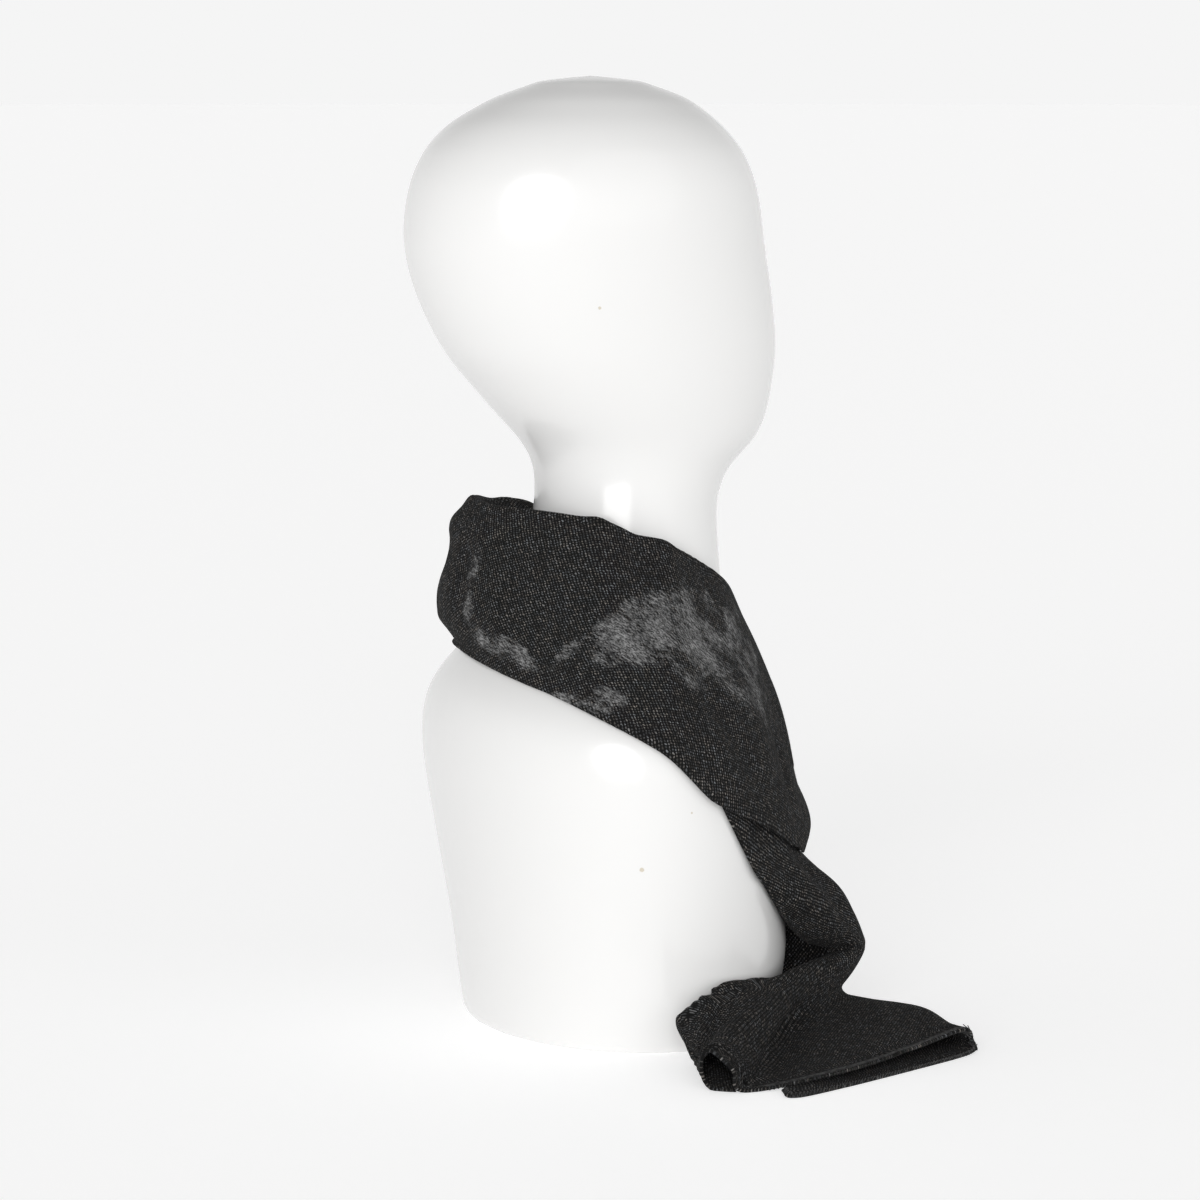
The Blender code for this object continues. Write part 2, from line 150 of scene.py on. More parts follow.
class Bench:
    """Makes a material's nodes and links them."""

    def __init__(self, name: str) -> None:
        """Starts a material with its shader alone.

        Args:
            name: The material's name.
        """
        self.material = bpy.data.materials.new(name)
        self.material.use_nodes = True
        self.tree = self.material.node_tree
        self.shader = self.tree.nodes["Principled BSDF"]

    def feed(self, socket: bpy.types.NodeSocket, value: object) -> None:
        """Links or sets one input.

        Args:
            socket: The input.
            value: A Shade to link, or a value to set.
        """
        if isinstance(value, Shade):
            self.tree.links.new(value.socket, socket)
        else:
            socket.default_value = value

    def node(
        self,
        kind: str,
        settings: dict | None = None,
        sockets: dict | None = None,
        output: str | int = 0,
    ) -> Shade:
        """Adds a node.

        Args:
            kind: The node's type.
            settings: Its settings, set first.
            sockets: Values or links of its inputs, by name or number.
            output: The output that is wanted.

        Returns:
            The output.
        """
        made = self.tree.nodes.new(kind)
        for name, value in (settings or {}).items():
            setattr(made, name, value)
        for name, value in (sockets or {}).items():
            self.feed(made.inputs[name], value)
        return Shade(self, made.outputs[output])

    def maths(self, operation: Operation, *values: Shade | Number) -> Shade:
        """Adds a Math node for an operation on one or two values."""
        return self.node("ShaderNodeMath", {"operation": operation.value}, dict(enumerate(values)))

    def vector(self, x: Shade | Number, y: Shade | Number, z: Shade | Number = 0.0) -> Shade:
        """Joins three numbers to a vector."""
        return self.node("ShaderNodeCombineXYZ", sockets={"X": x, "Y": y, "Z": z})

    def noise(
        self, place: Shade, scale: float, detail: float = 2.0, roughness: float = 0.5
    ) -> Shade:
        """A smooth noise from 0 to 1.

        Args:
            place: Where it is read.
            scale: Its waves in each unit of place.
            detail: How many finer waves it has.
            roughness: How strong those are.

        Returns:
            The noise.
        """
        sockets = {"Vector": place, "Scale": scale, "Detail": detail, "Roughness": roughness}
        return self.node("ShaderNodeTexNoise", {"noise_dimensions": "3D"}, sockets)

    def mix(self, first: object, second: object, share: Shade) -> Shade:
        """A colour between two colours.

        Args:
            first: The colour at 0.
            second: The colour at 1.
            share: How much of the second.

        Returns:
            The colour.
        """
        made = self.tree.nodes.new("ShaderNodeMix")
        made.data_type = "RGBA"
        self.feed(made.inputs["Factor"], share)
        colours = [s for s in made.inputs if s.type == "RGBA"]
        self.feed(colours[0], first)
        self.feed(colours[1], second)
        return Shade(self, next(s for s in made.outputs if s.type == "RGBA"))

    def bump(self, height: Shade, depth: float) -> None:
        """Feeds a height to the shader's normal.

        Args:
            height: The height, from 0 to 1.
            depth: How far 1 stands out, in metres.
        """
        normal = self.node(
            "ShaderNodeBump", sockets={"Height": height, "Strength": 1.0, "Distance": depth}
        )
        self.feed(self.shader.inputs["Normal"], normal)

    def finish(self, **sockets: object) -> bpy.types.Material:
        """Sets the shader's inputs, by name with _ for a space, and returns the material."""
        for name, value in sockets.items():
            self.feed(self.shader.inputs[name.replace("_", " ")], value)
        return self.material


def grey(level: float, warmth: float = 0.0) -> tuple[float, float, float, float]:
    """A grey colour, a little redder and less blue with warmth."""
    return (level * (1.0 + warmth), level, level * (1.0 - warmth), 1.0)


@dataclass(frozen=True)
class WoolFinish:
    """Fine woven wool: light flecks of yarn on charcoal, with paler patches that are brushed up.

    Sizes are in millimetres, and the noises' scales are waves in a millimetre.
    """

    name: str = "woven_wool"
    fleck_pitch: float = 2.45  # along the cloth
    row_pitch: float = 0.925  # across it; each row is half a pitch along from the last
    fleck_length: float = 1.25
    fleck_width: float = 0.84
    slant: float = 0.20  # how far a fleck leans along the cloth over its row, in pitches
    waver_across: float = 1.2  # how far the rows stray
    waver_along: float = 2.4  # how far the flecks stray in their rows
    relief: float = 0.22  # how far the yarn stands out
    dark: float = 0.0080
    light: float = 0.175
    brushed_dark: float = 0.020
    brushed_light: float = 0.330

    def make(self) -> bpy.types.Material:
        """The material, which reads the cloth's own map, in metres, and its brushed attribute."""
        bench = Bench(self.name)
        place = bench.node("ShaderNodeUVMap", {"uv_map": "grain"})
        along, across = (
            bench.node("ShaderNodeSeparateXYZ", sockets={"Vector": place}, output=axis) * (1.0 / MM)
            for axis in "XY"
        )

        # the flecks of the weave, each with its own brightness
        stray_across = bench.noise(bench.vector(along, across), 0.55, 2.0) - 0.5
        stray_along = bench.noise(bench.vector(across, along, 4.0), 0.62, 2.0) - 0.5
        rows = (across + stray_across * self.waver_across) / self.row_pitch
        row = rows.floor()
        lean = (rows.fract() - 0.5) * self.slant
        strayed = along + stray_along * self.waver_along
        steps = strayed / self.fleck_pitch + (row % 2.0) * 0.5 - lean
        step = steps.floor()
        fleck_place = bench.vector(step, row)
        luck = bench.node(
            "ShaderNodeTexWhiteNoise", {"noise_dimensions": "2D"}, {"Vector": fleck_place}
        )
        beside = (steps - step - 0.5) * (2.0 * self.fleck_pitch / self.fleck_length)
        over = (rows - row - 0.5) * (2.0 * self.row_pitch / self.fleck_width)
        fleck = (1.0 - beside * beside - over * over).above(0.0) ** 0.8
        fibre = bench.noise(bench.vector(along * 1.3, across * 2.2), 1.0, 3.0, 0.6)
        mottle = bench.noise(bench.vector(along, across), 0.13, 4.0, 0.6)
        yarn = fleck * (0.22 + luck**2.0) * (0.30 + fibre * 1.4) * (0.25 + mottle * 1.5)

        # the brushed patches, ragged at their edges and streaked along the cloth
        brushed = bench.node("ShaderNodeAttribute", {"attribute_name": "brushed"}, output="Fac")
        ragged = bench.noise(bench.vector(along * 0.20, across * 0.75, 3.0), 1.0, 2.0, 0.6)
        drift = bench.noise(bench.vector(along * 0.055, across * 0.075, 7.0), 1.0, 3.0)
        patch = (brushed * (1.0 + (ragged - 0.5) * 3.0 + (drift - 0.5) * 2.6)).ramp(0.34, 0.80)
        streak = bench.noise(bench.vector(along * 0.36, across * 1.05, 5.0), 1.0, 2.0, 0.6)
        grains = bench.noise(bench.vector(along * 1.2, across * 1.2, 2.0), 1.0, 2.0, 0.7)
        tuft = streak.ramp(0.42, 0.63) * 0.6 + grains.ramp(0.38, 0.64) * 0.3 + fleck * luck * 0.4

        tint = bench.noise(bench.vector(along, across, 9.0), 0.30, 2.0).ramp(0.35, 0.65)
        flecks = bench.mix(grey(self.light, -0.05), grey(self.light, 0.10), tint)
        plain = bench.mix(grey(self.dark), flecks, yarn)
        fluff = tuft * (0.1 + drift * 1.3)
        fluffy = bench.mix(grey(self.brushed_dark), grey(self.brushed_light), fluff)
        colour = bench.mix(plain, fluffy, patch * (0.40 + drift * 0.8))
        height = yarn * (1.0 - patch * 0.7) + tuft * patch * 0.7 + fibre * 0.25
        bench.bump(height, self.relief * MM)
        return bench.finish(
            Base_Color=colour,
            Roughness=1.0,
            Specular_IOR_Level=0.04,
            Sheen_Weight=0.02,
            Sheen_Roughness=0.5,
            Sheen_Tint=grey(0.5),
        )


@dataclass(frozen=True)
class ThreadFinish:
    """Twisted sewing thread, charcoal and light grey."""

    name: str = "overlock_thread"
    level: float = 0.024

    def make(self) -> bpy.types.Material:
        """The material, whose tone varies from stitch to stitch."""
        bench = Bench(self.name)
        place = bench.node("ShaderNodeTexCoord", output="Object")
        tone = bench.noise(place, 420.0, 2.0)
        dark, light = grey(self.level * 0.35), grey(self.level * 2.1, 0.02)
        colour = bench.mix(dark, light, tone.ramp(0.35, 0.7))
        return bench.finish(Base_Color=colour, Roughness=0.8, Sheen_Weight=0.1)


@dataclass(frozen=True)
class GlossFinish:
    """White gloss paint on the moulded bust, with three small chips."""

    name: str = "gloss_white_paint"
    white: Row = (0.74, 0.737, 0.73, 1.0)
    chip: Row = (0.52, 0.46, 0.35, 1.0)
    chips: tuple[tuple[float, float, float, float], ...] = (
        # x, y, z and radius, in metres
        (-0.1187, 0.0315, 0.1014, 0.0014),
        (-0.0682, 0.0363, 0.3904, 0.0010),
        (-0.1250, 0.0062, 0.1309, 0.0007),
    )
    ripple: float = 0.00002  # how far the skin is from smooth, in metres

    def make(self) -> bpy.types.Material:
        """The material."""
        bench = Bench(self.name)
        place = bench.node("ShaderNodeTexCoord", output="Object")
        waver = bench.noise(place, 900.0, 2.0)
        colour = self.white
        for x, y, z, radius in self.chips:
            apart = bench.node(
                "ShaderNodeVectorMath",
                {"operation": "DISTANCE"},
                {0: place, 1: (x, y, z)},
                output="Value",
            )
            spot = 1.0 - (apart / radius + (waver - 0.5) * 0.7).ramp(0.7, 1.0)
            colour = bench.mix(colour, self.chip, spot * 0.8)
        smear = bench.noise(place, 9.0, 3.0)
        bench.bump(bench.noise(place, 55.0, 1.0), self.ripple)
        return bench.finish(
            Base_Color=colour, Roughness=0.16 + smear * 0.14, Coat_Weight=0.35, Coat_Roughness=0.08
        )


@dataclass(frozen=True)
class FloorFinish:
    """The pale studio paper."""

    name: str = "studio_paper"
    level: float = 0.64
    glow: float = 0.545

    def make(self) -> bpy.types.Material:
        """The material, lit a little from below, as a light table is."""
        bench = Bench(self.name)
        return bench.finish(
            Base_Color=grey(self.level),
            Roughness=0.95,
            Specular_IOR_Level=0.1,
            Emission_Color=grey(1.0),
            Emission_Strength=self.glow,
        )


# ---------------------------------------------------------------------------------------------
# Curves and the bust that the cloth lies on
# ---------------------------------------------------------------------------------------------


def curve(rows: np.ndarray, places: np.ndarray) -> np.ndarray:
    """Points on a smooth curve through rows.

    Args:
        rows: The rows, of any width.
        places: Where to read it, from 0 at the first row to len(rows) - 1 at the last.

    Returns:
        One row for each place.
    """
    last = len(rows) - 1
    index = np.clip(places.astype(int), 0, last - 1)
    share = (places - index).reshape(-1, *[1] * (rows.ndim - 1))
    before, after = rows[np.maximum(index - 1, 0)], rows[np.minimum(index + 2, last)]
    first, second = rows[index], rows[index + 1]
    square, cube = share**2, share**3
    return (
        first * (2 * cube - 3 * square + 1)
        + (second - before) / 2 * (cube - 2 * square + share)
        + second * (3 * square - 2 * cube)
        + (after - first) / 2 * (cube - square)
    )


@dataclass(frozen=True)
class BustForm:
    """The body that the scarf is wound round, as half width, half depth and middle by height."""

    heights: Row = (
        0.0, 2.0, 20.0, 39.0, 60.0, 83.0, 110.0, 135.0, 156.0, 180.0,
        203.0, 218.0, 235.0, 255.0, 281.0, 298.0,
    )
    half_widths: Row = (
        106.0, 108.0, 112.0, 115.0, 118.0, 121.0, 124.0, 126.0, 125.0, 114.0,
        89.0, 70.0, 57.0, 51.5, 49.0, 48.5,
    )
    half_depths: Row = (
        79.0, 81.0, 85.0, 87.5, 88.5, 89.0, 89.5, 90.0, 89.5, 85.0,
        75.5, 64.5, 55.0, 52.0, 49.8, 52.0,
    )
    middles: Row = (
        2.5, 2.5, 1.0, 0.5, 2.5, 6.0, 10.0, 13.5, 16.0, 17.0,
        12.0, 5.5, 0.0, -2.0, -3.0, -5.5,
    )

    def reach(self, heights: np.ndarray, turns: np.ndarray) -> np.ndarray:
        """How far the skin is from the axis.

        Args:
            heights: Heights above the base.
            turns: Turns round the axis.

        Returns:
            The distances.
        """
        levels = np.stack([self.half_widths, self.half_depths, self.middles], axis=1)
        places = np.interp(heights, self.heights, np.arange(len(self.heights)))
        half_width, half_depth, middle = curve(levels, places.ravel()).reshape(*places.shape, 3).T
        half_width, half_depth, middle = half_width.T, half_depth.T, middle.T
        x, y = -np.sin(np.radians(turns)), np.cos(np.radians(turns))
        square = (x / half_width) ** 2 + (y / half_depth) ** 2
        linear = y * middle / half_depth**2
        rest = (middle / half_depth) ** 2 - 1.0
        return (linear + np.sqrt(linear**2 - square * rest)) / square

    def on_skin(self, points: np.ndarray) -> np.ndarray:
        """Points from turns, gaps and heights.

        Args:
            points: Turn, gap and height of each point, in the last axis.

        Returns:
            The points, as x, y and z.
        """
        turns, gaps, heights = np.moveaxis(points, -1, 0)
        return polar(turns, self.reach(heights, turns) + gaps, heights)


def polar(turns: np.ndarray, outs: np.ndarray, heights: np.ndarray) -> np.ndarray:
    """Points from turns, distances from the axis and heights."""
    angles = np.radians(turns)
    return np.stack([-outs * np.sin(angles), outs * np.cos(angles), heights + 0.0 * outs], axis=-1)


BUST = BustForm()


# ---------------------------------------------------------------------------------------------
# Cloth
# ---------------------------------------------------------------------------------------------


@dataclass(frozen=True)
class Crease:
    """A soft ridge, or a trough if its depth is negative, between two places on a sheet.

    A place is a share of the sheet's length and a share of its width. The rest is in millimetres.
    """

    start: tuple[float, float]
    end: tuple[float, float]
    width: float
    depth: float
    bow: float = 0.0  # how far its middle is off the straight line


@dataclass(frozen=True)
class BrushedPatch:
    """A patch where the yarn is brushed up.

    Its middle is a share of the sheet's length and a share of its width, its half sizes are in
    millimetres and its lean is in degrees.
    """

    middle: tuple[float, float]
    half_length: float
    half_width: float
    lean: float = 0.0
    strength: float = 1.0  # how brushed its middle is, from 0 to 1


def unit(vectors: np.ndarray) -> np.ndarray:
    """Vectors of length 1."""
    return vectors / np.maximum(np.linalg.norm(vectors, axis=-1, keepdims=True), 1e-9)


def run_along(line: np.ndarray) -> np.ndarray:
    """How far along a line each of its points is."""
    return np.concatenate([[0.0], np.cumsum(np.linalg.norm(np.diff(line, axis=0), axis=1))])


def evened(lines: np.ndarray, count: int) -> np.ndarray:
    """Lines of points with each line's points at even distances along it.

    Args:
        lines: The lines.
        count: How many points each line gets.

    Returns:
        The lines with their new points.
    """
    even = []
    for line in lines:
        runs = run_along(line)
        places = np.interp(np.linspace(0.0, runs[-1], count), runs, np.arange(len(line)))
        even.append(curve(line, places))
    return np.array(even)


def turned(places: np.ndarray, degrees: float) -> np.ndarray:
    """Flat places as read on axes that are turned by some degrees from the first to the second."""
    angle = math.radians(degrees)
    cosine, sine = math.cos(angle), math.sin(angle)
    return places @ np.array([[cosine, -sine], [sine, cosine]])


def laid_flat(points: np.ndarray, sweeps: int = 2500, pull: float = 0.1) -> np.ndarray:
    """Lays a grid of points out flat, with the distances between neighbours kept as well as it can.

    Args:
        points: The grid, as lines of points.
        sweeps: How often the distances are corrected.
        pull: The share of each error that a sweep takes away.

    Returns:
        The flat places, in the grid's unit.
    """
    apart = np.linalg.norm(np.diff(points, axis=1), axis=2)
    across = np.concatenate([np.zeros((len(points), 1)), np.cumsum(apart, axis=1)], axis=1)
    middle = points.shape[1] // 2
    across -= across[:, middle : middle + 1]
    along = run_along(points[:, middle])
    flat = np.stack([along[:, None] + 0.0 * across, across], axis=2)
    most, least, every = slice(None, -1), slice(1, None), slice(None)
    links = (
        ((most, every), (least, every)),
        ((every, most), (every, least)),
        ((most, most), (least, least)),
        ((most, least), (least, most)),
    )
    lengths = [np.linalg.norm(points[b] - points[a], axis=2) for a, b in links]
    for _ in range(sweeps):
        change = np.zeros_like(flat)
        for (a, b), length in zip(links, lengths):
            gap = flat[b] - flat[a]
            now = np.linalg.norm(gap, axis=2)
            move = gap * ((now - length) / np.maximum(now, 1e-6))[:, :, None]
            change[a] += move
            change[b] -= move
        flat += change * pull
    return flat


def new_piece(
    name: str,
    corners: np.ndarray,
    faces: list[tuple[int, ...]],
    material: bpy.types.Material,
) -> bpy.types.Object:
    """A smooth mesh piece that rides on the root body.

    Args:
        name: The piece's name.
        corners: Its corners, in millimetres.
        faces: Its faces, by their corners' numbers.
        material: Its finish.

    Returns:
        The piece.
    """
    mesh = bpy.data.meshes.new(name)
    mesh.from_pydata((corners * MM).tolist(), [], faces)
    mesh.materials.append(material)
    mesh.shade_smooth()
    piece = bpy.data.objects.new(name, mesh)
    bpy.context.scene.collection.objects.link(piece)
    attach(piece, "root")
    return piece


@dataclass
class Cloth:
    """A sheet of wool as a closed thin shell on the form of its solids."""

    name: str
    replaced: tuple[str, ...]
    held: Held
    rests_on: tuple[str, ...]
    cut: tuple[float, float]  # width and length, in metres, before it was draped
    faces: tuple[int, int]  # along the sheet and across it, in whole map steps
    grain: float = 0.0  # degrees from the sheet's length to the weave's
    overlock: "Overlock | None" = None  # the stitches along its last line
    wall: float = 1.8
    map_step: int = 6  # every so many lines and points are laid flat for the map
    creases: tuple[Crease, ...] = ()
    patches: tuple[BrushedPatch, ...] = ()

    def middle(self) -> np.ndarray:
        """The middle of the cloth, as lines of points."""
        raise NotImplementedError

    def outwards(self, normals: np.ndarray, points: np.ndarray) -> float:
        """Whether the normals point to the side that shows, as 1 or -1."""
        away = points * (1.0, 1.0, 0.0)
        return float(np.sign((normals * away).sum()))

    def map(self, points: np.ndarray) -> np.ndarray:
        """The flat place of each point, in millimetres."""
        step = self.map_step
        flat = laid_flat(points[::step, ::step])
        for count in points.shape[:2]:
            before, after = 2 * flat[:1] - flat[1:2], 2 * flat[-1:] - flat[-2:-1]
            run_on = np.concatenate([before, flat, after])
            flat = curve(run_on, np.linspace(1, len(flat), count)).swapaxes(0, 1)
        return flat

    def at(self, flat: np.ndarray, share: tuple[float, float]) -> np.ndarray:
        """The flat place at a share of the length and a share of the width."""
        lines, points = flat.shape[:2]
        return flat[round(share[0] * (lines - 1)), round(share[1] * (points - 1))]

    def pushed_out(self, flat: np.ndarray) -> np.ndarray:
        """How far the creases push each point out, in millimetres."""
        push = np.zeros(flat.shape[:2])
        for crease in self.creases:
            start, end = self.at(flat, crease.start), self.at(flat, crease.end)
            length = np.linalg.norm(end - start)
            run = (end - start) / length
            side = np.array([-run[1], run[0]])
            share = (flat - start) @ run / length
            arch = np.clip(4.0 * share * (1.0 - share), 0.0, 1.0)
            off = (flat - start) @ side - crease.bow * arch
            push += crease.depth * np.exp(-((off / crease.width) ** 2)) * arch**0.7
        return push

    def brushed(self, flat: np.ndarray) -> np.ndarray:
        """How brushed each point is, from 0 to 1. At a patch's half sizes it is half as much."""
        level = np.zeros(flat.shape[:2])
        for patch in self.patches:
            off = turned(flat - self.at(flat, patch.middle), patch.lean)
            sizes_away = np.hypot(off[:, :, 0] / patch.half_length, off[:, :, 1] / patch.half_width)
            fading = np.clip(1.25 - 0.75 * sizes_away, 0.0, 1.0)
            level = np.maximum(level, fading * patch.strength)
        return level

    def normals(self, points: np.ndarray) -> np.ndarray:
        """The way the side that shows faces, at each point."""
        down_length, down_width = np.gradient(points, axis=0), np.gradient(points, axis=1)
        normals = unit(np.cross(unit(down_length), unit(down_width)))
        return normals * self.outwards(normals, points)

    def make(self, material: bpy.types.Material, thread: bpy.types.Material) -> bpy.types.Object:
        """Args:
            material: The wool.
            thread: The stitches' thread.

        Returns:
            The piece.
        """
        points = self.middle()
        flat = self.map(points)
        points = points + self.normals(points) * self.pushed_out(flat)[:, :, None]
        normals = self.normals(points)
        corners, faces, sources = self.shell(points, normals)
        piece = new_piece(self.name, corners, faces, material)
        places = (turned(flat, self.grain) * MM).reshape(-1, 2)[sources]
        layer = piece.data.uv_layers.new(name="grain")
        loops = np.empty(len(piece.data.loops), dtype=np.int32)
        piece.data.loops.foreach_get("vertex_index", loops)
        layer.data.foreach_set("uv", places[loops].astype(np.float32).ravel())
        attribute = piece.data.attributes.new("brushed", "FLOAT", "POINT")
        attribute.data.foreach_set("value", self.brushed(flat).ravel()[sources].astype(np.float32))
        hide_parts(*self.replaced)
        sewn = [self.overlock.make(points, normals, self.wall, thread)] if self.overlock else []
        area = sum(face.area for face in piece.data.polygons) / 2
        LOG.info("%s: %.4f square metres, cut %.4f", self.name, area, self.cut[0] * self.cut[1])
        return piece

    def shell(
        self, points: np.ndarray, normals: np.ndarray
    ) -> tuple[np.ndarray, list[tuple[int, ...]], np.ndarray]:
        """A closed wall with rounded edges round the middle of the cloth, and none below the floor.

        Args:
            points: The middle of the cloth.
            normals: The way the side that shows faces.

        Returns:
            The corners, the faces, and the point that each corner comes from.
        """
        half = self.wall / 2
        lines, width = points.shape[:2]
        numbers = np.arange(lines * width).reshape(lines, width)
        out = np.zeros_like(points)
        out[0] += unit(points[0] - points[1])
        out[-1] += unit(points[-1] - points[-2])
        out[:, 0] += unit(points[:, 0] - points[:, 1])
        out[:, -1] += unit(points[:, -1] - points[:, -2])
        out = unit(out)
        sides = numbers[:-1, 0], numbers[-1, :-1], numbers[:0:-1, -1], numbers[0, :0:-1]
        border = np.concatenate(sides)
        flat_points, flat_normals, flat_out = (a.reshape(-1, 3) for a in (points, normals, out))
        layers = [flat_points + flat_normals * half, flat_points - flat_normals * half]
        for angle in (45.0, 0.0, -45.0):
            radians = math.radians(angle)
            push = flat_out * math.cos(radians) + flat_normals * math.sin(radians)
            layers.append((flat_points + push * half)[border])
        corners = np.concatenate(layers)
        corners[:, 2] = np.maximum(corners[:, 2], 0.0)
        sources = np.concatenate([numbers.ravel(), numbers.ravel(), border, border, border])
        faces = []
        a, b = numbers[:-1, :-1].ravel(), numbers[1:, :-1].ravel()
        c, d = numbers[1:, 1:].ravel(), numbers[:-1, 1:].ravel()
        count = lines * width
        faces += np.stack([a, b, c, d], axis=1).tolist()
        faces += (np.stack([d, c, b, a], axis=1) + count).tolist()
        edge = len(border)
        between = (2 * count + edge * k + np.arange(edge) for k in range(3))
        rings = [border, *between, border + count]
        for ring, beside in zip(rings, rings[1:]):
            nexts = np.roll(ring, -1), np.roll(beside, -1)
            faces += np.stack([nexts[0], ring, beside, nexts[1]], axis=1).tolist()
        first = corners[np.array(faces[: len(a)])]
        facing = np.cross(first[:, 2] - first[:, 0], first[:, 3] - first[:, 1])
        if (facing * flat_normals[a]).sum() < 0.0:
            faces = [face[::-1] for face in faces]
        return corners, faces, sources


@dataclass
class NeckWrap(Cloth):
    """The two stretches round the neck, as one sheet from the chest round the nape to the chest."""

    gap: float = 2.6  # the least one, from the bust's skin to the cloth's middle
    rim_roll: tuple[tuple[float, float], ...] = ((9.0, 13.0), (7.5, 6.0), (4.0, 1.2))
    roll_room: float = 12.0  # the room under the rim that lets it roll in full
    roll_line: float = 40.0  # and the line's height that does
    least_roll: float = 0.15
    hem_roll: tuple[float, float] = (0.6, 2.0)
    shares: Row = (0.0, 0.16, 0.34, 0.66, 0.87, 1.0)  # where the pushes are, from rim to hem
    skin_blend: float = 6.0  # how near the skin the cloth starts to follow it
    guides: int = 14
    rows: tuple[Row, ...] = field(
        default=(
            # rim_turn, rim_out, rim_height, hem_turn, hem_height, hem_gap,
            # shoulder, waist, belly, cuff, under
            (-212.0, 74.0, 184.0, -205.0, 104.0, 3.0, 0.0, 0.0, 0.0, 0.0, 0.0),
            (-200.0, 67.0, 200.0, -186.0, 106.0, 3.0, 0.0, 0.0, 0.0, 0.0, 0.0),
            (-180.0, 61.0, 219.0, -162.0, 108.0, 3.0, 0.0, 0.0, 0.0, 0.0, 0.0),
            (-158.0, 60.0, 234.0, -140.0, 112.0, 3.0, 1.0, 1.0, 3.0, 1.0, 0.0),
            (-132.0, 62.0, 246.0, -118.0, 119.0, 3.0, 2.0, 3.0, 4.0, 2.0, 0.0),
            (-104.0, 68.0, 257.0, -98.0, 136.0, 3.0, 3.0, 4.0, 4.0, 2.0, 0.0),
            (-80.0, 74.0, 266.0, -80.0, 162.0, 3.0, 3.0, 4.0, 3.0, 1.0, 0.0),
            (-64.0, 78.0, 278.0, -64.0, 186.5, 2.6, 6.0, 6.0, 6.0, 3.0, 0.0),
            (-46.0, 80.0, 279.0, -46.0, 201.5, 2.2, 8.0, 8.5, 11.5, 7.5, 0.0),
            (-24.0, 81.0, 284.0, -26.0, 206.0, 4.2, 9.5, 9.0, 13.0, 9.8, 0.0),
            (4.0, 77.0, 282.0, 2.0, 206.0, 4.0, 8.0, 8.0, 11.0, 6.0, 0.0),
            (32.0, 70.0, 281.0, 33.0, 199.0, 3.0, 6.0, 6.0, 8.0, 4.0, 0.0),
            (58.0, 68.0, 277.5, 58.0, 188.0, 3.0, 4.0, 4.5, 5.0, 3.0, 0.0),
            (82.0, 65.0, 268.5, 79.0, 167.0, 3.0, 3.0, 3.0, 4.0, 2.5, 0.0),
            (106.0, 60.0, 257.5, 90.5, 142.0, 4.5, 3.0, 2.0, 3.0, 2.0, 0.0),
            (132.0, 56.0, 245.5, 101.0, 129.5, 7.5, 2.0, 0.0, 0.0, 0.0, 0.0),
            (158.0, 56.5, 233.0, 113.0, 117.5, 10.5, 1.0, -1.0, -3.0, -1.0, 1.5),
            (180.0, 67.5, 215.0, 122.0, 108.5, 12.0, 1.0, 0.0, -4.0, -1.0, 5.0),
            (189.0, 77.5, 189.0, 129.0, 104.0, 13.5, 1.0, 0.0, -4.0, -1.0, 5.0),
            (185.0, 84.5, 158.0, 134.0, 100.5, 14.0, 0.0, -1.0, -1.0, 1.0, 6.0),
            (177.0, 93.5, 132.0, 138.5, 98.0, 14.0, 0.0, 1.0, 2.0, 1.0, 8.0),
            (166.0, 98.5, 115.5, 142.0, 99.5, 13.5, 0.0, 1.0, 1.0, 1.0, 8.0),
            (156.0, 96.5, 110.5, 145.0, 104.5, 13.3, 0.0, 0.0, 0.0, 0.0, 8.0),
        )
    )

    def line(self, row: np.ndarray) -> np.ndarray:
        """One line across the cloth: its rolled rim, its outer face and its hem.

        Args:
            row: The line's sizes.

        Returns:
            The line's points.
        """
        rim_turn, rim_out, rim_height, hem_turn, hem_height, hem_gap = row[:6]
        pushes = np.array([0.0, *row[6:10], 0.0])[:, None]
        least_gap = self.gap + row[10]
        room = rim_out - BUST.reach(np.array([rim_height]), np.array([rim_turn]))[0] - least_gap
        roomy = max(room / self.roll_room, self.least_roll)
        size = min((rim_height - hem_height) / self.roll_line, roomy, 1.0)
        rim = rim_out - min(room, 0.0)
        inwards, down = np.array(self.rim_roll).T
        heights = rim_height - down * size**2
        skin = BUST.reach(heights, np.full_like(heights, rim_turn)) + least_gap
        outs = np.maximum(rim - inwards * size, skin - inwards * self.least_roll)
        roll = polar(np.full_like(outs, rim_turn), outs, heights)

        share = np.linspace(0.0, 1.0, self.guides + 1)
        turns = rim_turn + (hem_turn - rim_turn) * share
        heights = rim_height + (hem_height - rim_height) * share
        push = curve(pushes, np.interp(share, self.shares, np.arange(len(self.shares))))[:, 0]
        hem_out = BUST.reach(np.array([hem_height]), np.array([hem_turn]))[0] + hem_gap
        straight = rim_out + (hem_out - rim_out) * share + push
        skin = BUST.reach(heights, turns) + least_gap
        near = np.maximum(self.skin_blend - np.abs(straight - skin), 0.0) / self.skin_blend
        face = polar(turns, np.maximum(straight, skin) + near**2 * self.skin_blend / 4, heights)
        inwards, down = self.hem_roll
        hem = BUST.on_skin(np.array([[hem_turn, hem_gap - inwards, hem_height - down]]))
        return np.concatenate([roll, face, hem])

    def middle(self) -> np.ndarray:
        """The middle of the cloth, as lines of points."""
        along, across = self.faces
        rows = curve(np.array(self.rows), np.linspace(0.0, len(self.rows) - 1, along + 1))
        lines = np.array([self.line(row) for row in rows])
        places = np.linspace(0.0, lines.shape[1] - 1, 2 * across)
        return evened(curve(lines.swapaxes(0, 1), places).swapaxes(0, 1), across + 1)


